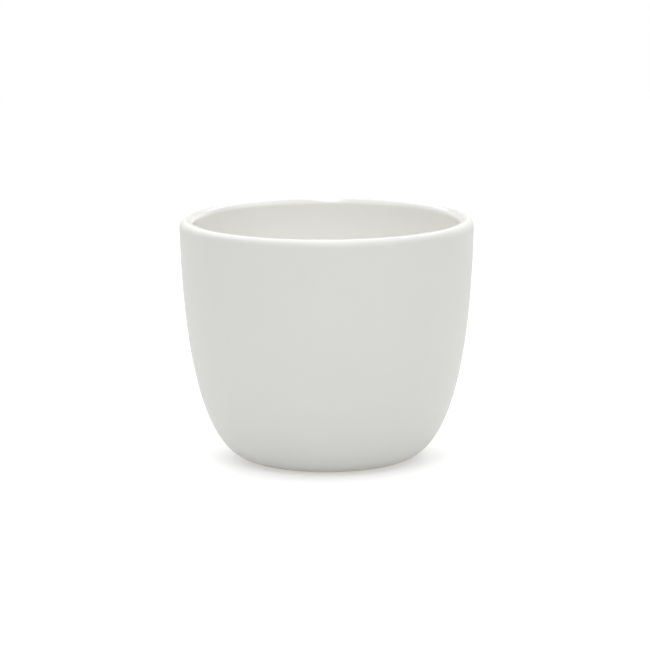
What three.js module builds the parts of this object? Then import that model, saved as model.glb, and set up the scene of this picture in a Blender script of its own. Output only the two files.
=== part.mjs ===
// A small round porcelain egg cup, formed and fired in one piece.
// Units are millimetres, +Z is up, and the origin is the centre of the circle that the foot stands on.
// The cup is built in the layers it is made of: the fired clay, and the glaze coats that lie on it.

import * as THREE from "three";

// ---- Driving dimensions -----------------------------------------------------------------------

const RIM_RADIUS = 27.5; // outside of the cup at its widest, just under the lip
const HEIGHT = 45.3; // standing face to the top of the lip

const RIM_WALL = 2.75; // thickness of the wall at the lip
const LIP_OUTER_RADIUS = 1.45; // rounding of the lip towards the outside
const LIP_INNER_RADIUS = RIM_WALL - LIP_OUTER_RADIUS; // and towards the well

const FOOT_RADIUS = 14; // outer edge of the standing face
const FOOT_INNER_RADIUS = 12.2; // inner edge of the standing face
const OUTSIDE_LEAN = THREE.MathUtils.degToRad(1.5); // how far the wall leans in below the lip
const OUTSIDE_UPPER_PULL = 20.5; // how long the wall stays nearly upright under the lip
const OUTSIDE_LOWER_PULL = 10.3; // how broadly it sweeps out from the foot
const FOOT_LIFT = THREE.MathUtils.degToRad(4); // angle at which it leaves the foot

const WELL_FLOOR = 4.2; // height of the well's flat floor above the standing face
const CORNER_WALL = 3.2; // thickness of the wall where it starts to round into that floor
const CORNER_START = 10.5; // how far up the outside, measured along it from the foot, that is

const RECESS_DEPTH = 1.1; // how far the underside is hollowed inside the foot ring
const RECESS_FLAT_RADIUS = 9.6; // radius of the hollow's flat middle
const RECESS_EDGE_RADIUS = 11.7; // where the foot ring's bevel starts
const RECESS_EDGE_HEIGHT = 0.3;

const GLAZE = 0.3; // thickness of every glaze coat
const BOND = 0.05; // clearance between a coat and the clay under it
const EDGE_GAP = 0.1; // clearance between a coat's edge and whatever it stops against
const BARE_FOOT = 2.2; // width of the unglazed band round the standing face

// ---- Fineness ---------------------------------------------------------------------------------

const SEGMENTS = 48; // flats round the cup
const OUTSIDE_STEPS = 16; // steps up the outside wall
const WELL_STEPS = 11; // steps down the wall of the well
const CORNER_STEPS = 5; // steps round into the well's floor
const LIP_STEPS = 4; // steps on each quarter of the lip
const FOOT_STEPS = 2;
const RECESS_STEPS = 3;

// ---- Finished surfaces ------------------------------------------------------------------------
// A surface is a list of samples in the (radius, height) plane. Each holds a point and the direction
// that points out of the cup there, so that a layer under it is found by sinking it. Every surface
// runs the same way round the section: out under the foot, up the outside, over the lip and down
// into the well, with the cup's material on its left.

const flat = (radius, height, up) => ({
  point: new THREE.Vector2(radius, height),
  out: new THREE.Vector2(0, up),
});

function roundCorner(centre, radius, from, to) {
  const samples = [];
  for (let i = 0; i <= LIP_STEPS; i++) {
    const angle = THREE.MathUtils.lerp(from, to, i / LIP_STEPS);
    const out = new THREE.Vector2(Math.cos(angle), Math.sin(angle));
    samples.push({ point: centre.clone().addScaledVector(out, radius), out });
  }
  return samples;
}

function onCurve(curve, length) {
  const share = length / curve.getLength();
  const run = curve.getTangentAt(share);
  return { point: curve.getPointAt(share), out: new THREE.Vector2(run.y, -run.x) };
}

// Even steps between two lengths along a curve.
function alongCurve(curve, from, to, steps) {
  const samples = [];
  for (let i = 0; i <= steps; i++) samples.push(onCurve(curve, THREE.MathUtils.lerp(from, to, i / steps)));
  return samples;
}

const lipOuterCentre = new THREE.Vector2(RIM_RADIUS - LIP_OUTER_RADIUS, HEIGHT - LIP_OUTER_RADIUS);
const lipInnerCentre = new THREE.Vector2(lipOuterCentre.x, HEIGHT - LIP_INNER_RADIUS);

// From the outer edge of the standing face up to the lip.
function outsideCurve() {
  const foot = new THREE.Vector2(FOOT_RADIUS, 0);
  const sweep = new THREE.Vector2(Math.cos(FOOT_LIFT), Math.sin(FOOT_LIFT));
  const down = new THREE.Vector2(-Math.sin(OUTSIDE_LEAN), -Math.cos(OUTSIDE_LEAN));
  const out = new THREE.Vector2(-down.y, down.x);
  const lip = lipOuterCentre.clone().addScaledVector(out, LIP_OUTER_RADIUS);
  return new THREE.CubicBezierCurve(
    foot,
    foot.clone().addScaledVector(sweep, OUTSIDE_LOWER_PULL),
    lip.clone().addScaledVector(down, OUTSIDE_UPPER_PULL),
    lip,
  );
}

const outside = outsideCurve();
const recessCorner = new THREE.QuadraticBezierCurve(
  new THREE.Vector2(RECESS_FLAT_RADIUS, RECESS_DEPTH),
  new THREE.Vector2(RECESS_EDGE_RADIUS - GLAZE, RECESS_DEPTH),
  new THREE.Vector2(RECESS_EDGE_RADIUS, RECESS_EDGE_HEIGHT),
);

// The hollow under the cup, from its middle to just short of the foot ring's bevel.
const recessSurface = () => [
  flat(0, RECESS_DEPTH, -1),
  ...alongCurve(recessCorner, 0, recessCorner.getLength() - EDGE_GAP, RECESS_STEPS),
];

// The outside wall from just above the bare foot, and the outer half of the lip to just short of its crown.
function outsideSurface() {
  const crown = Math.PI / 2 - EDGE_GAP / LIP_OUTER_RADIUS;
  return [
    ...alongCurve(outside, BARE_FOOT + EDGE_GAP, outside.getLength(), OUTSIDE_STEPS),
    ...roundCorner(lipOuterCentre, LIP_OUTER_RADIUS, -OUTSIDE_LEAN, crown).slice(1),
  ];
}

// The wall of the well follows the outside wall, and thickens evenly from the lip to the corner.
const wellWall = () =>
  alongCurve(outside, outside.getLength(), CORNER_START, WELL_STEPS).map(({ point, out }, i) => {
    const thickness = THREE.MathUtils.lerp(RIM_WALL, CORNER_WALL, i / WELL_STEPS);
    return { point: point.addScaledVector(out, -thickness), out: out.negate() };
  });

// The round from the foot of the well's wall onto its floor, as long on the floor as on the wall.
function wellCorner({ point, out }) {
  const run = new THREE.Vector2(-out.y, out.x);
  const reach = (point.y - WELL_FLOOR) / -run.y;
  const sharp = point.clone().addScaledVector(run, reach);
  const onFloor = new THREE.Vector2(sharp.x - reach, WELL_FLOOR);
  const round = new THREE.QuadraticBezierCurve(point, sharp, onFloor);
  return alongCurve(round, 0, round.getLength(), CORNER_STEPS);
}

// From the lip's crown over its inner half, down the well's wall and across its floor.
function wellSurface() {
  const wall = wellWall();
  return [
    ...roundCorner(lipInnerCentre, LIP_INNER_RADIUS, Math.PI / 2, Math.PI - OUTSIDE_LEAN),
    ...wall.slice(1),
    ...wellCorner(wall.at(-1)).slice(1),
    flat(0, WELL_FLOOR, 1),
  ];
}

const sunk = (surface, depth) =>
  surface.map(({ point, out }) => point.clone().addScaledVector(out, -depth));

// ---- Sub-parts --------------------------------------------------------------------------------

function turned(name, outline, finish) {
  const geometry = new THREE.LatheGeometry(outline, SEGMENTS);
  geometry.rotateX(Math.PI / 2); // a lathe turns about +Y, and the cup stands along +Z
  const mesh = new THREE.Mesh(geometry, new THREE.MeshStandardMaterial(finish));
  mesh.name = name;
  return mesh;
}

// A coat of glaze: the finished surface and, GLAZE below it, the face that lies on the clay.
// Its outline starts and ends on the axis where it reaches it, or else comes back to its start.
function coat(name, surface, finish) {
  const top = sunk(surface, 0);
  const under = sunk(surface, GLAZE).reverse();
  const startsOnAxis = top[0].x === 0;
  const endsOnAxis = under[0].x === 0;
  const outline = startsOnAxis ? [...top, ...under] : [...under, ...top];
  return turned(name, startsOnAxis || endsOnAxis ? outline : [...outline, under[0]], finish);
}

function porcelainBody() {
  const depth = GLAZE + BOND;
  const recessEdge = onCurve(recessCorner, recessCorner.getLength());
  const glazeStop = onCurve(outside, BARE_FOOT);
  const outline = [
    ...sunk([...recessSurface(), recessEdge], depth),
    recessEdge.point,
    new THREE.Vector2(FOOT_INNER_RADIUS, 0),
    ...sunk(alongCurve(outside, 0, BARE_FOOT, FOOT_STEPS), 0),
    ...sunk([glazeStop, ...outsideSurface(), ...wellSurface()], depth),
  ];
  return turned("porcelain_body", outline, { color: 0xe9e6dd, roughness: 0.75, metalness: 0 });
}

const glossLiningGlaze = () =>
  coat("gloss_lining_glaze", wellSurface(), { color: 0xf2f1ec, roughness: 0.12, metalness: 0 });

const satinOuterGlaze = () =>
  coat("satin_outer_glaze", outsideSurface(), { color: 0xefeee9, roughness: 0.45, metalness: 0 });

const footWellGlaze = () =>
  coat("foot_well_glaze", recessSurface(), { color: 0xf0efe9, roughness: 0.3, metalness: 0 });

// ---- Assembly ---------------------------------------------------------------------------------

const eggCup = new THREE.Group();
eggCup.add(porcelainBody(), glossLiningGlaze(), satinOuterGlaze(), footWellGlaze());

export default eggCup;
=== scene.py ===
"""A small white porcelain egg cup, dressed for a studio picture.

The cup is thrown layer by layer, as it is made: the fired clay, the glossy glaze of the well and
of the inner half of the lip, the satin glaze of the outside, and the glaze in the hollow of the
foot. Every layer is an outline turned on a wheel, so each piece is round and closed, and has a
thickness. Lengths are in metres.
"""

import logging
import math
from dataclasses import dataclass
from enum import Enum
from itertools import pairwise
from typing import Any, Callable

import bmesh
import bpy
from mathutils import Matrix, Vector


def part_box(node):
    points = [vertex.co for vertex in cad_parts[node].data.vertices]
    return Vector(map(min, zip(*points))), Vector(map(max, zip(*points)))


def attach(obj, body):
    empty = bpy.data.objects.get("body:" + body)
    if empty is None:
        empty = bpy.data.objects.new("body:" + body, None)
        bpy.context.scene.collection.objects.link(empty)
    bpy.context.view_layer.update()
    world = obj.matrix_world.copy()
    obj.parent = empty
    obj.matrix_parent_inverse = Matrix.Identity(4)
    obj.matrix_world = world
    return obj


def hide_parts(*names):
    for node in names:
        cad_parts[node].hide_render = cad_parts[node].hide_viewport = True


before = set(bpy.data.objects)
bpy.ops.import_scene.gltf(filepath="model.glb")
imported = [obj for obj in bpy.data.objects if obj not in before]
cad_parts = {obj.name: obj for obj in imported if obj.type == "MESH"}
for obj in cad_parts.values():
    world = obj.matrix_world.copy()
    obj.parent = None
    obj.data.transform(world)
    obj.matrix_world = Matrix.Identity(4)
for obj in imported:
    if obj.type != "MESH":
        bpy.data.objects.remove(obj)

MM = 0.001
WHITE = (1.0, 1.0, 1.0, 1.0)
CROWN = math.pi / 2
log = logging.getLogger("egg_cup")


# ---- Shader arithmetic ---------------------------------------------------------------------------


class Value:
    """One output of a shader node, on which ordinary arithmetic adds Math nodes."""

    def __init__(self, recipe: "Recipe", socket: bpy.types.NodeSocket) -> None:
        """Wraps a socket of a recipe's node tree."""
        self.recipe = recipe
        self.socket = socket

    def __add__(self, other: "Value | float") -> "Value":
        """Adds."""
        return self.recipe.maths("ADD", self, other)

    def __sub__(self, other: "Value | float") -> "Value":
        """Subtracts."""
        return self.recipe.maths("SUBTRACT", self, other)

    def __rsub__(self, other: float) -> "Value":
        """Subtracts from a number."""
        return self.recipe.maths("SUBTRACT", other, self)

    def __mul__(self, other: "Value | float") -> "Value":
        """Multiplies."""
        return self.recipe.maths("MULTIPLY", self, other)

    def __pow__(self, other: "Value | float") -> "Value":
        """Raises to a power."""
        return self.recipe.maths("POWER", self, other)

    __radd__ = __add__
    __rmul__ = __mul__


class Recipe:
    """A node tree that is being written, one node at a time."""

    def __init__(self, tree: bpy.types.NodeTree) -> None:
        """Starts from an empty tree.

        Args:
            tree: The material's or the world's node tree, which is cleared.
        """
        tree.nodes.clear()
        self.tree = tree

    def node(
        self, kind: str, settings: dict[str, Any] | None = None, **inputs: Any
    ) -> bpy.types.Node:
        """Adds a node, sets it and feeds it.

        Args:
            kind: The node's type, without its ShaderNode prefix.
            settings: Its properties, set before its sockets. "stops" fills a colour ramp.
            inputs: A number, colour or Value for each socket, by its name with _ for a space.

        Returns:
            The new node.
        """
        made = self.tree.nodes.new("ShaderNode" + kind)
        for name, setting in (settings or {}).items():
            if name == "stops":
                self._fill_ramp(made.color_ramp, setting)
            else:
                setattr(made, name, setting)
        for name, value in inputs.items():
            self._feed(self._socket(made, name), value)
        return made

    def value(
        self, kind: str, output: str, settings: dict[str, Any] | None = None, **inputs: Any
    ) -> Value:
        """Adds a node and returns one of its outputs.

        Args:
            kind: The node's type, as in node().
            output: The name of the output.
            settings: As in node().
            inputs: As in node().

        Returns:
            The output, ready for arithmetic.
        """
        return Value(self, self.node(kind, settings, **inputs).outputs[output])

    def maths(self, operation: str, first: "Value | float", second: "Value | float" = 0.0) -> Value:
        """Adds a Math node.

        Args:
            operation: The node's operation.
            first: The upper operand.
            second: The lower operand, which some operations don't read.

        Returns:
            The result.
        """
        made = self.node("Math", {"operation": operation})
        for socket, value in zip(made.inputs, (first, second)):
            self._feed(socket, value)
        return Value(self, made.outputs["Value"])

    def vector(
        self, operation: str, first: Value, second: tuple[float, float, float] | None = None
    ) -> Value:
        """Adds a Vector Math node.

        Args:
            operation: The node's operation.
            first: The upper vector.
            second: The lower vector, which some operations don't read.

        Returns:
            The result: a number from a length or a dot product, a vector from the others.
        """
        made = self.node("VectorMath", {"operation": operation})
        self._feed(made.inputs[0], first)
        if second is not None:
            self._feed(made.inputs[1], second)
        gives_number = operation in ("LENGTH", "DOT_PRODUCT")
        return Value(self, made.outputs["Value" if gives_number else "Vector"])

    def blend(
        self, share: Value, low: "Value | tuple[float, ...]", high: tuple[float, ...]
    ) -> Value:
        """Mixes two colours by a share from 0 to 1.

        Args:
            share: How much of the second colour there is.
            low: The colour at 0, as another node's colour or as linear red, green and blue.
            high: The colour at 1.

        Returns:
            The mixed colour.
        """
        made = self.node("Mix", {"data_type": "RGBA"})
        colour_ends = [s for s in made.inputs if s.type == "RGBA"]
        self._feed(made.inputs[0], share)
        self._feed(colour_ends[0], low if isinstance(low, Value) else (*low, 1.0))
        self._feed(colour_ends[1], (*high, 1.0))
        return Value(self, next(s for s in made.outputs if s.type == "RGBA"))

    def step(self, amount: Value, start: float, over: float) -> Value:
        """Makes a smooth step.

        Args:
            amount: What is measured.
            start: The amount at which the step starts to rise from 0.
            over: How much further it reaches 1.

        Returns:
            The step, from 0 to 1.
        """
        smooth = {"interpolation_type": "SMOOTHSTEP"}
        ends = {"From_Min": start, "From_Max": start + over}
        return self.value("MapRange", "Result", smooth, Value=amount, **ends)

    def join(self, kind: str, first: Value, second: Value, **inputs: Any) -> Value:
        """Adds a node that puts two shaders together.

        Args:
            kind: "AddShader" or "MixShader".
            first: The upper shader.
            second: The lower shader.
            inputs: The node's other sockets, as in node().

        Returns:
            The joined shader.
        """
        made = self.node(kind, **inputs)
        for socket, shader in zip(list(made.inputs)[-2:], (first, second)):
            self._feed(socket, shader)
        return Value(self, made.outputs["Shader"])

    def _feed(self, socket: bpy.types.NodeSocket, value: Any) -> None:
        """Links a Value to a socket, or sets the socket to a constant.

        Args:
            socket: The input to feed.
            value: A Value, or the number, vector or colour that it is set to.
        """
        if isinstance(value, Value):
            self.tree.links.new(value.socket, socket)
        else:
            socket.default_value = value

    @staticmethod
    def _socket(made: bpy.types.Node, name: str) -> bpy.types.NodeSocket:
        """Finds a node's input by its name, in which _ stands for a space."""
        return made.inputs[name.replace("_", " ")]

    @staticmethod
    def _fill_ramp(ramp: bpy.types.ColorRamp, stops: list[tuple[float, float]]) -> None:
        """Gives a two-stop grey ramp its places and greys.

        Args:
            ramp: The ramp.
            stops: The place and the grey of each stop.
        """
        for element, (place, grey) in zip(ramp.elements, stops):
            element.position = place
            element.color = (grey, grey, grey, 1.0)


# ---- Finishes ------------------------------------------------------------------------------------


@dataclass(frozen=True)
class Finish:
    """How a fired surface looks: its colour, its sheen and its small unevenness.

    Each pattern is given by the size of its features, and each unevenness by its height. A glaze
    can be duller past a radius from the cup's axis, and darker there: painted shade on its lit
    crown.
    """

    pale: tuple[float, float, float]
    deep: tuple[float, float, float]
    roughness: float
    roughness_spread: float
    cloud_size: float
    ripple_size: float
    ripple_height: float
    grain_size: float
    grain_height: float
    cloud_detail: float = 3.0
    ripple_detail: float = 2.0
    grain_detail: float = 4.0
    cloud_share: float = 0.7
    grain_share: float = 0.3
    refraction: float = 1.5
    specks: float = 0.0
    speck_spacing: float = 0.9 * MM
    speck_core: float = 0.10
    speck_edge: float = 0.16
    blurred_past: float = 0.0
    blurred_over: float = 1.0
    blurred_by: float = 0.0
    # painted shade: a darker glaze colour past a radius, which tones down the lip's crown where the
    # overhead light falls strongly
    painted_crown_shade: tuple[float, float, float] | None = None
    painted_shade_past: float = 0.0
    painted_shade_over: float = 1.0

    def material(self, name: str) -> bpy.types.Material:
        """Writes the finish as a procedural material.

        Args:
            name: The material's name.

        Returns:
            The material.
        """
        made = bpy.data.materials.new(name)
        made.use_nodes = True
        recipe = Recipe(made.node_tree)
        place = recipe.value("TexCoord", "Object")
        clouds = self._noise(recipe, place, self.cloud_size, self.cloud_detail)
        ripple = self._noise(recipe, place, self.ripple_size, self.ripple_detail)
        grain = self._noise(recipe, place, self.grain_size, self.grain_detail)
        tint = clouds * self.cloud_share + grain * self.grain_share + self._speckle(recipe, place)
        colour = recipe.blend(tint, self.pale, self.deep)
        unevenness = (clouds - 0.5) * self.roughness_spread + (grain - 0.5) * self.roughness_spread
        sheen = self.roughness + unevenness
        # painted shade: past a radius the glaze colour is blended towards a darker grey, so that
        # the lip's crown looks less lit
        if self.painted_crown_shade:
            painted_shade_share = self._past(recipe, place, self.painted_shade_past, self.painted_shade_over)
            colour = recipe.blend(painted_shade_share, colour, self.painted_crown_shade)
        if self.blurred_by:
            blurred = self._past(recipe, place, self.blurred_past, self.blurred_over)
            sheen = sheen + blurred * self.blurred_by
        height = ripple * self.ripple_height + grain * self.grain_height
        bump = recipe.value("Bump", "Normal", Strength=1.0, Distance=1.0, Height=height)
        feeds = {"Base_Color": colour, "Roughness": sheen, "Normal": bump, "IOR": self.refraction}
        recipe.node("OutputMaterial", Surface=recipe.value("BsdfPrincipled", "BSDF", **feeds))
        return made

    @staticmethod
    def _past(recipe: Recipe, place: Value, radius: float, over: float) -> Value:
        """Tells whether a point lies past a radius, where the glaze is duller and has painted
        shade.

        Args:
            recipe: The material being written.
            place: The point on the piece.
            radius: Where the change starts.
            over: How wide it is.

        Returns:
            0 up to the radius and 1 past the change, with a smooth step between them.
        """
        level = recipe.vector("MULTIPLY", place, (1.0, 1.0, 0.0))
        return recipe.step(recipe.vector("LENGTH", level), radius, over)

    def _speckle(self, recipe: Recipe, place: Value) -> "Value | float":
        """Scatters rare small specks, as bare clay has.

        Args:
            recipe: The material being written.
            place: The point on the piece.

        Returns:
            What is added to the tint at a speck.
        """
        if not self.specks:
            return 0.0
        scale = 1.0 / self.speck_spacing
        spots = recipe.value("TexVoronoi", "Distance", Vector=place, Scale=scale, Randomness=1.0)
        stops = [(self.speck_core, 1.0), (self.speck_edge, 0.0)]
        return recipe.value("ValToRGB", "Color", {"stops": stops}, Fac=spots) * self.specks

    @staticmethod
    def _noise(recipe: Recipe, place: Value, size: float, detail: float) -> Value:
        """A cloudy pattern from 0 to 1.

        Args:
            recipe: The material being written.
            place: The point on the piece.
            size: How large its features are.
            detail: How many finer octaves it has.

        Returns:
            The pattern.
        """
        feeds = {"Vector": place, "Scale": 1.0 / size, "Detail": detail, "Roughness": 0.5}
        return recipe.value("TexNoise", "Fac", **feeds)


class Coat(Enum):
    """The finishes on the cup."""

    BARE_CLAY = Finish(
        pale=(0.88, 0.79, 0.64),
        deep=(0.82, 0.72, 0.56),
        roughness=0.82,
        roughness_spread=0.10,
        cloud_size=3.0 * MM,
        ripple_size=0.9 * MM,
        ripple_height=0.010 * MM,
        grain_size=0.16 * MM,
        grain_height=0.012 * MM,
        specks=0.35,
    )
    GLOSS = Finish(
        pale=(0.865, 0.862, 0.832),
        deep=(0.85, 0.847, 0.816),
        roughness=0.055,
        roughness_spread=0.03,
        cloud_size=9.0 * MM,
        ripple_size=2.6 * MM,
        ripple_height=0.004 * MM,
        grain_size=0.35 * MM,
        grain_height=0.0002 * MM,
        blurred_past=25.75 * MM,
        blurred_over=0.45 * MM,
        blurred_by=0.16,
        # painted shade on the inner half of the lip's crown, from 24.75 mm out, where the overhead
        # light falls strongly
        painted_crown_shade=(0.70, 0.697, 0.67),
        painted_shade_past=24.75 * MM,
        painted_shade_over=0.6 * MM,
    )
    SATIN = Finish(
        pale=(0.74, 0.738, 0.71),
        deep=(0.725, 0.723, 0.694),
        roughness=0.46,
        roughness_spread=0.06,
        cloud_size=7.0 * MM,
        ripple_size=1.8 * MM,
        ripple_height=0.003 * MM,
        grain_size=0.14 * MM,
        grain_height=0.0012 * MM,
    )
    FOOT = Finish(
        pale=(0.86, 0.855, 0.82),
        deep=(0.84, 0.833, 0.795),
        roughness=0.24,
        roughness_spread=0.08,
        cloud_size=4.0 * MM,
        ripple_size=1.6 * MM,
        ripple_height=0.006 * MM,
        grain_size=0.2 * MM,
        grain_height=0.001 * MM,
        specks=0.12,
    )


# ---- The cup's section ---------------------------------------------------------------------------


@dataclass(frozen=True)
class Spot:
    """A point of a finished surface, as radius and height, and the way out of the cup there."""

    point: Vector
    out: Vector

    def sunk(self, depth: float) -> Vector:
        """The point that lies a depth below this one."""
        return self.point - self.out * depth


def curve(ends: list[Vector], steps: int, first: float = 0.0, last: float = 1.0) -> list[Spot]:
    """Samples a Bezier curve of any degree.

    Args:
        ends: Its end points and, between them, its control points.
        steps: How many steps it is cut into.
        first: Where on the curve to start, from 0 to 1.
        last: Where to stop.

    Returns:
        The samples. The cup's material is on the left of the way they run.
    """

    def at(points: list[Vector], t: float) -> Vector:
        """Finds a point of a Bezier curve.

        Args:
            points: The curve's ends and control points.
            t: Where on it, from 0 to 1.

        Returns:
            The point.
        """
        while len(points) > 1:
            points = [a.lerp(b, t) for a, b in pairwise(points)]
        return points[0]

    slopes = [b - a for a, b in pairwise(ends)]
    spots = []
    for i in range(steps + 1):
        t = first + (last - first) * i / steps
        run = at(slopes, t).normalized()
        spots.append(Spot(at(ends, t), Vector((run.y, -run.x))))
    return spots


def arc(centre: Vector, radius: float, start: float, stop: float, steps: int) -> list[Spot]:
    """Samples a round corner.

    Args:
        centre: The middle of the corner's circle.
        radius: The circle's radius.
        start: The angle it starts at, in radians from straight outwards.
        stop: The angle it ends at.
        steps: How many steps it is cut into.

    Returns:
        The samples.
    """
    spots = []
    for i in range(steps + 1):
        angle = start + (stop - start) * i / steps
        out = Vector((math.cos(angle), math.sin(angle)))
        spots.append(Spot(centre + out * radius, out))
    return spots


@dataclass(frozen=True)
class Section:
    """Half of the cup cut through its axis, with its main sizes from the frame."""

    rim_radius: float
    crown_radius: float
    height: float
    well_floor: float
    rim_wall: float = 2.75 * MM
    corner_wall: float = 3.2 * MM
    corner_at: float = 0.34
    foot_radius: float = 14.0 * MM
    foot_inner_radius: float = 12.2 * MM
    lean: float = math.radians(1.5)
    lift: float = math.radians(4.0)
    upper_pull: float = 20.5 * MM
    lower_pull: float = 10.3 * MM
    glaze_stop: float = 0.073
    recess_depth: float = 1.1 * MM
    recess_flat_radius: float = 9.6 * MM
    recess_edge: tuple[float, float] = (11.7 * MM, 0.3 * MM)
    glaze: float = 0.3 * MM
    bond: float = 0.05 * MM
    foot_steps: int = 4
    wall_steps: int = 44
    lip_steps: int = 9
    well_steps: int = 30
    corner_steps: int = 12
    recess_steps: int = 20

    @classmethod
    def from_frame(cls) -> "Section":
        """Reads the cup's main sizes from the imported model.

        Returns:
            The cup's section.
        """
        lining_low, lining_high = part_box("gloss_lining_glaze")
        satin_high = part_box("satin_outer_glaze")[1]
        return cls(satin_high.x, lining_high.x, lining_high.z, lining_low.z + cls.glaze)

    @property
    def lip_outer_radius(self) -> float:
        """The rounding of the lip towards the outside."""
        return self.rim_radius - self.crown_radius

    @property
    def lip_inner_radius(self) -> float:
        """The rounding of the lip towards the well."""
        return self.rim_wall - self.lip_outer_radius

    def _outside_ends(self) -> list[Vector]:
        """Sets out the curve of the outside wall, from the foot up.

        Returns:
            Its lower end, its two control points and its upper end.
        """
        down = Vector((-math.sin(self.lean), -math.cos(self.lean)))
        centre = Vector((self.crown_radius, self.height - self.lip_outer_radius))
        lip = centre + Vector((-down.y, down.x)) * self.lip_outer_radius
        foot = Vector((self.foot_radius, 0.0))
        sweep = Vector((math.cos(self.lift), math.sin(self.lift)))
        return [foot, foot + sweep * self.lower_pull, lip + down * self.upper_pull, lip]

    def bare_foot(self) -> list[Spot]:
        """The unglazed band from the standing face's outer edge to where the satin glaze stops."""
        return curve(self._outside_ends(), self.foot_steps, 0.0, self.glaze_stop)

    def outside(self) -> list[Spot]:
        """The outside wall, from where its glaze stops up to the lip."""
        return curve(self._outside_ends(), self.wall_steps, self.glaze_stop, 1.0)

    def outer_lip(self) -> list[Spot]:
        """The outer half of the lip, up to its crown."""
        centre = Vector((self.crown_radius, self.height - self.lip_outer_radius))
        return arc(centre, self.lip_outer_radius, -self.lean, CROWN, self.lip_steps)

    def inner_lip(self) -> list[Spot]:
        """The inner half of the lip, down from its crown."""
        centre = Vector((self.crown_radius, self.height - self.lip_inner_radius))
        return arc(centre, self.lip_inner_radius, CROWN, math.pi - self.lean, self.lip_steps)

    def well(self) -> list[Spot]:
        """Draws the well, from the lip down its wall and round its foot to its flat floor.

        Returns:
            The samples. The wall thickens evenly on its way down.
        """
        wall = []
        outside = curve(self._outside_ends(), self.well_steps, 1.0, self.corner_at)
        for i, spot in enumerate(outside):
            thickness = self.rim_wall + (self.corner_wall - self.rim_wall) * i / self.well_steps
            wall.append(Spot(spot.sunk(thickness), -spot.out))
        last = wall[-1]
        run = Vector((-last.out.y, last.out.x))
        reach = (last.point.y - self.well_floor) / -run.y
        sharp = last.point + run * reach
        on_floor = Vector((sharp.x - reach, self.well_floor))
        return wall + curve([last.point, sharp, on_floor], self.corner_steps)[1:]

    def recess(self) -> list[Spot]:
        """Draws the hollow in the foot, from its flat middle to the bevel of the foot ring.

        Returns:
            The samples.
        """
        edge = Vector(self.recess_edge)
        flat = Vector((self.recess_flat_radius, self.recess_depth))
        pull = Vector((edge.x - self.glaze, self.recess_depth))
        return curve([flat, pull, edge], self.recess_steps)


# ---- Forming -------------------------------------------------------------------------------------


@dataclass(frozen=True)
class Wheel:
    """The potter's wheel, which turns an outline into a round and closed piece."""

    stops: int = 96
    same_place: float = 0.001 * MM
    corner_reach: float = 0.005 * MM

    def throw(self, name: str, outline: list[Vector]) -> bpy.types.Object:
        """Draws an outline point by point and spins it round the cup's axis.

        Args:
            name: The piece's name.
            outline: Radius and height of each point. It starts and ends on the axis, or else it
                comes back to its start.

        Returns:
            The closed piece, at the origin, with its faces outwards.
        """
        bpy.ops.object.select_all(action="DESELECT")
        bpy.ops.mesh.primitive_plane_add(size=MM, location=(outline[0].x, 0.0, outline[0].y))
        piece = bpy.context.object
        piece.name = piece.data.name = name
        bpy.ops.object.transform_apply(location=True, rotation=True, scale=True)
        bpy.ops.object.mode_set(mode="EDIT")
        bpy.ops.mesh.select_all(action="SELECT")
        bpy.ops.mesh.merge(type="CENTER")
        for here, there in pairwise(outline):
            step = (there.x - here.x, 0.0, there.y - here.y)
            bpy.ops.mesh.extrude_region_move(TRANSFORM_OT_translate={"value": step})
        bpy.ops.mesh.select_all(action="SELECT")
        bpy.ops.mesh.spin(steps=self.stops, angle=2 * math.pi, center=(0, 0, 0), axis=(0, 0, 1))
        bpy.ops.mesh.select_all(action="SELECT")
        bpy.ops.mesh.remove_doubles(threshold=self.same_place)
        bpy.ops.mesh.normals_make_consistent(inside=False)
        bpy.ops.object.mode_set(mode="OBJECT")
        return piece

    def soften(
        self, piece: bpy.types.Object, corners: list[Vector], width: float, segments: int = 2
    ) -> None:
        """Bevels the rings of edges that run through some corners of the outline.

        Args:
            piece: The thrown piece.
            corners: Radius and height of each corner.
            width: How wide the bevel is.
            segments: How many faces it has.
        """
        bpy.ops.object.mode_set(mode="EDIT")
        bpy.ops.mesh.select_mode(type="EDGE")
        bpy.ops.mesh.select_all(action="DESELECT")
        mesh = bmesh.from_edit_mesh(piece.data)

        def on_corner(vertex: bmesh.types.BMVert) -> bool:
            """Whether a vertex lies on one of the corners' rings."""
            spot = Vector((vertex.co.xy.length, vertex.co.z))
            return any((spot - corner).length < self.corner_reach for corner in corners)

        for edge in mesh.edges:
            edge.select_set(all(on_corner(v) for v in edge.verts))
        bmesh.update_edit_mesh(piece.data)
        bpy.ops.mesh.bevel(offset=width, segments=segments, affect="EDGES")
        bpy.ops.mesh.select_mode(type="VERT")
        bpy.ops.object.mode_set(mode="OBJECT")

    def fire(self, piece: bpy.types.Object, levels: int = 1) -> bpy.types.Object:
        """Smooths the piece, as glaze and clay draw smooth in the kiln.

        Args:
            piece: The thrown piece.
            levels: How many times each face is cut in four.

        Returns:
            The same piece.
        """
        bpy.ops.object.select_all(action="DESELECT")
        piece.select_set(True)
        bpy.context.view_layer.objects.active = piece
        bpy.ops.object.modifier_add(type="SUBSURF")
        smooth = piece.modifiers[-1]
        smooth.levels = smooth.render_levels = levels
        bpy.ops.object.modifier_apply(modifier=smooth.name)
        bpy.ops.object.shade_smooth()
        return piece


def dress(piece: bpy.types.Object, coat: Coat, slot: str, node: str) -> bpy.types.Object:
    """Gives a finished piece its material and its place in the frame.

    Args:
        piece: The piece.
        coat: Its finish.
        slot: The record's material slot.
        node: The solid in the frame that it stands for.

    Returns:
        The same piece.
    """
    piece.data.materials.clear()
    piece.data.materials.append(coat.value.material(slot))
    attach(piece, "root")
    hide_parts(node)
    return piece


# ---- The cup's layers ----------------------------------------------------------------------------


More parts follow.
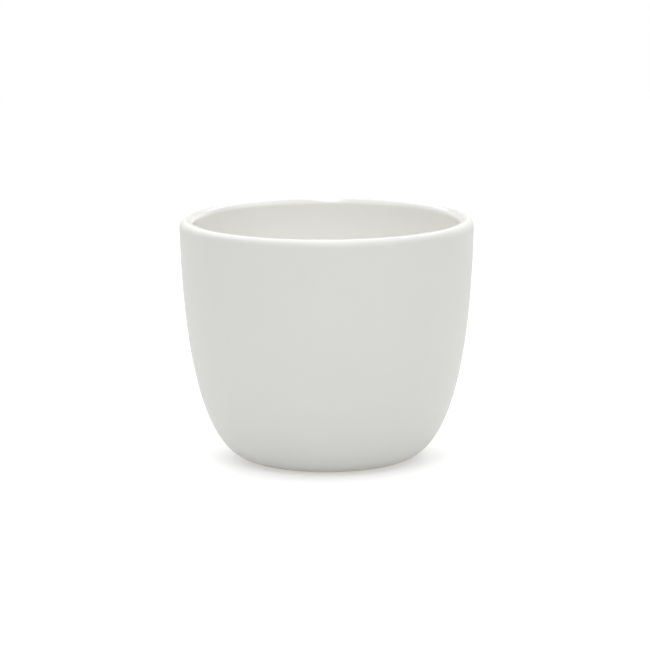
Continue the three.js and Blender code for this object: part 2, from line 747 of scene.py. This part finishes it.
@dataclass
class ClayBody:
    """The fired clay: wall, floor and foot ring in one, with a bare standing face."""

    section: Section
    wheel: Wheel
    foot_bevel: float = 0.16 * MM
    foot_bevel_faces: int = 3

    def build(self) -> bpy.types.Object:
        """Throws the clay body and rounds the edges of its foot ring.

        Returns:
            The finished piece.
        """
        s = self.section
        depth = s.glaze + s.bond
        foot_inner = Vector((s.foot_inner_radius, 0.0))
        bare = [spot.point for spot in s.bare_foot()]
        outline = [Vector((0.0, s.recess_depth + depth))]
        outline += [spot.sunk(depth) for spot in s.recess()]
        outline += [s.recess()[-1].point, foot_inner]
        outline += bare
        outline += [spot.sunk(depth) for spot in s.outside()]
        outline += [spot.sunk(depth) for spot in s.outer_lip()[1:] + s.inner_lip()[1:] + s.well()]
        outline += [Vector((0.0, s.well_floor - depth))]
        piece = self.wheel.throw("clay_body", outline)
        self.wheel.soften(piece, [foot_inner, bare[0]], self.foot_bevel, self.foot_bevel_faces)
        return dress(self.wheel.fire(piece), Coat.BARE_CLAY, "fired_clay", "porcelain_body")


@dataclass
class Lining:
    """The glossy coat of the well, which laps over the crown of the lip."""

    section: Section
    wheel: Wheel
    lap: float = math.radians(8.0)
    lap_steps: int = 2

    def build(self) -> bpy.types.Object:
        """Throws the lining.

        Returns:
            The finished piece.
        """
        s = self.section
        centre = Vector((s.crown_radius, s.height - s.lip_outer_radius))
        lap = arc(centre, s.lip_outer_radius, CROWN - self.lap, CROWN, self.lap_steps)
        spots = lap + s.inner_lip()[1:] + s.well()
        face = [spot.point for spot in spots] + [Vector((0.0, s.well_floor))]
        under = [spot.sunk(s.glaze) for spot in spots]
        under += [Vector((0.0, s.well_floor - s.glaze))]
        piece = self.wheel.throw("gloss_lining", under[::-1] + face)
        return dress(self.wheel.fire(piece), Coat.GLOSS, "gloss_glaze", "gloss_lining_glaze")


@dataclass
class OuterCoat:
    """The satin coat of the outside, from the bare foot to the crown of the lip."""

    section: Section
    wheel: Wheel
    tuck: float = 0.008 * MM
    edge: float = 0.09 * MM

    def build(self) -> bpy.types.Object:
        """Throws the outer coat, which tucks under the lining, and rounds its lower edge.

        Returns:
            The finished piece.
        """
        s = self.section
        wall = s.outside()
        lip = s.outer_lip()[1:]
        count = len(lip)
        face = [spot.point for spot in wall]
        face += [spot.sunk(self.tuck * (i + 1) / count) for i, spot in enumerate(lip)]
        under = [spot.sunk(s.glaze) for spot in wall + lip]
        piece = self.wheel.throw("satin_outer", under[::-1] + face + [under[-1]])
        self.wheel.soften(piece, [face[0], under[0]], self.edge)
        return dress(self.wheel.fire(piece), Coat.SATIN, "satin_glaze", "satin_outer_glaze")


@dataclass
class FootWellCoat:
    """The coat in the hollow of the foot."""

    section: Section
    wheel: Wheel
    edge: float = 0.09 * MM

    def build(self) -> bpy.types.Object:
        """Throws the coat and rounds its edge.

        Returns:
            The finished piece.
        """
        s = self.section
        spots = s.recess()[:-1]
        face = [Vector((0.0, s.recess_depth))] + [spot.point for spot in spots]
        under = [Vector((0.0, s.recess_depth + s.glaze))]
        under += [spot.sunk(s.glaze) for spot in spots]
        piece = self.wheel.throw("foot_well", face + under[::-1])
        self.wheel.soften(piece, [face[-1], under[-1]], self.edge)
        return dress(self.wheel.fire(piece), Coat.FOOT, "foot_glaze", "foot_well_glaze")


# ---- The studio ----------------------------------------------------------------------------------


@dataclass(frozen=True)
class Glow:
    """A broad soft light from one side of the studio, brightest along its direction."""

    name: str
    towards: tuple[float, float, float]
    strength: float
    sharpness: float = 12.0


@dataclass(frozen=True)
class Softbox:
    """A rectangular softbox that hangs over the cup and faces it."""

    name: str
    place: tuple[float, float, float]
    size: tuple[float, float]
    watts: float

    def hang(self) -> bpy.types.Object:
        """Adds the light and turns it towards the cup.

        Returns:
            The light.
        """
        data = bpy.data.lights.new(self.name, "AREA")
        data.shape = "RECTANGLE"
        data.size, data.size_y = self.size
        data.energy = self.watts
        light = bpy.data.objects.new(self.name, data)
        light.location = self.place
        light.rotation_mode = "QUATERNION"
        light.rotation_quaternion = (-Vector(self.place)).to_track_quat("-Z", "Y")
        light.visible_camera = False
        bpy.context.scene.collection.objects.link(light)
        return light


@dataclass
class Studio:
    """A white floor that runs out of sight, soft light, softboxes overhead, and the camera."""

    section: Section
    glows: tuple[Glow, ...] = (
        Glow("backdrop", (0.0, 0.99, 0.14), 0.65),
        Glow("backdrop_right", (0.58, 0.80, 0.14), 1.4),
        Glow("backdrop_left", (-0.58, 0.80, 0.14), 0.7),
        Glow("high_back_left", (-0.60, 0.60, 0.53), 0.95),
        Glow("front", (0.0, -0.85, 0.53), 0.58),
        Glow("front_right", (0.60, -0.60, 0.53), 0.9),
        Glow("front_left", (-0.60, -0.60, 0.53), 0.9),
    )
    softboxes: tuple[Softbox, ...] = (
        Softbox("overhead_broad", (0.0, 0.1, 1.0), (1.2, 0.9), 4.1),
        Softbox("overhead_back", (0.0, 0.9, 0.9), (1.4, 0.6), 5.7),
        Softbox("overhead_front", (0.0, -0.9, 1.0), (1.0, 0.8), 1.2),
        Softbox("overhead_left", (-0.9, 0.0, 1.0), (0.8, 0.8), 1.4),
        Softbox("overhead_right", (0.9, 0.0, 1.0), (0.8, 0.8), 3.0),
        Softbox("overhead_strip", (-0.02, -0.24, 1.0), (0.22, 1.36), 4.3),
    )
    floor_size: float = 8.0
    floor_white: tuple[float, float, float] = (0.72, 0.72, 0.72)
    floor_lift: float = 0.18
    floor_glow: float = 0.20
    far_from: float = 0.3
    far_over: float = 0.3
    camera_distance: float = 0.65
    camera_elevation: float = math.radians(10.6)
    camera_roll: float = math.radians(-0.29)
    lens: float = 192.0
    sensor_width: float = 36.0
    aim_above_middle: float = 2.31 * MM
    aim_left_of_middle: float = 0.40 * MM

    def build(self) -> None:
        """Lays the floor, lights the scene and sets up the camera."""
        self._lay_floor()
        self._light_room()
        for softbox in self.softboxes:
            softbox.hang()
        self._set_camera()
        view = bpy.context.scene.view_settings
        view.view_transform = "Standard"
        view.look = "None"

    def _lay_floor(self) -> None:
        """Lays the matte white floor that the cup stands on.

        It gives off a little light, more where the camera sees it, and far from the cup the camera
        sees it as plain white, so that no horizon shows.
        """
        bpy.ops.object.select_all(action="DESELECT")
        bpy.ops.mesh.primitive_plane_add(size=self.floor_size, location=(0.0, 0.0, 0.0))
        floor = bpy.context.object
        floor.name = "studio_floor"
        made = bpy.data.materials.new("matte_white_floor")
        made.use_nodes = True
        recipe = Recipe(made.node_tree)
        matte = recipe.value("BsdfDiffuse", "BSDF", Color=(*self.floor_white, 1.0))
        glow, lifted, white = (
            recipe.value("Emission", "Emission", Color=WHITE, Strength=strength)
            for strength in (self.floor_glow, self.floor_glow + self.floor_lift, 1.0)
        )
        seen = recipe.value("LightPath", "Is Camera Ray")
        near = recipe.join("AddShader", matte, recipe.join("MixShader", glow, lifted, Fac=seen))
        distance = recipe.vector("LENGTH", recipe.value("TexCoord", "Object"))
        away = recipe.step(distance, self.far_from, self.far_over)
        surface = recipe.join("MixShader", near, white, Fac=seen * away)
        recipe.node("OutputMaterial", Surface=surface)
        floor.data.materials.append(made)

    def _light_room(self) -> None:
        """Fills the room with soft light, before a backdrop that the camera sees as plain white."""
        world = bpy.data.worlds.new("studio")
        bpy.context.scene.world = world
        world.use_nodes = True
        recipe = Recipe(world.node_tree)
        way = recipe.value("TexCoord", "Generated")
        total: Value | float = 0.0
        for glow in self.glows:
            total = total + self._glow(recipe, way, glow)
        room = recipe.value("Background", "Background", Color=WHITE, Strength=total)
        white = recipe.value("Background", "Background", Color=WHITE, Strength=1.0)
        seen = recipe.value("LightPath", "Is Camera Ray")
        recipe.node("OutputWorld", Surface=recipe.join("MixShader", room, white, Fac=seen))

    @staticmethod
    def _glow(recipe: Recipe, way: Value, glow: Glow) -> Value:
        """How bright one soft light is in each direction.

        Args:
            recipe: The room being written.
            way: The direction looked in.
            glow: The light.

        Returns:
            Its brightness.
        """
        facing = recipe.vector("DOT_PRODUCT", way, Vector(glow.towards).normalized())
        return recipe.maths("MAXIMUM", facing, 0.0) ** glow.sharpness * glow.strength

    def _set_camera(self) -> None:
        """Stands the camera in front of the cup, a little above it, on a long lens."""
        middle = Vector((0.0, 0.0, self.section.height / 2))
        rise, run = math.sin(self.camera_elevation), math.cos(self.camera_elevation)
        data = bpy.data.cameras.new("studio_camera")
        data.sensor_width = self.sensor_width
        data.lens = self.lens
        camera = bpy.data.objects.new("studio_camera", data)
        bpy.context.scene.collection.objects.link(camera)
        camera.location = middle + Vector((0.0, -run, rise)) * self.camera_distance
        up = Vector((0.0, rise, run))
        aim = middle + up * self.aim_above_middle - Vector((self.aim_left_of_middle, 0.0, 0.0))
        turn = (aim - camera.location).to_track_quat("-Z", "Y").to_matrix()
        camera.rotation_mode = "QUATERNION"
        turn = turn @ Matrix.Rotation(self.camera_roll, 3, "Z")
        camera.rotation_quaternion = turn.to_quaternion()
        bpy.context.scene.camera = camera


# ---- Putting it together -------------------------------------------------------------------------


def corners(box: tuple[Vector, Vector]) -> list[list[float]]:
    """A box's lowest and highest corner as plain lists."""
    return [list(corner) for corner in box]


def main() -> None:
    """Builds the cup's layers and the studio."""
    logging.basicConfig(level=logging.INFO, format="%(name)s: %(message)s")
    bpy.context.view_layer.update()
    section = Section.from_frame()
    wheel = Wheel()
    layers: list[Callable[[], bpy.types.Object]] = [
        ClayBody(section, wheel).build,
        Lining(section, wheel).build,
        OuterCoat(section, wheel).build,
        FootWellCoat(section, wheel).build,
    ]
    for build in layers:
        piece = build()
        log.info("%s: %d faces", piece.name, len(piece.data.polygons))
    Studio(section).build()
    log.info("studio: floor, lights and camera are in place")


if __name__ == "__main__":
    main()
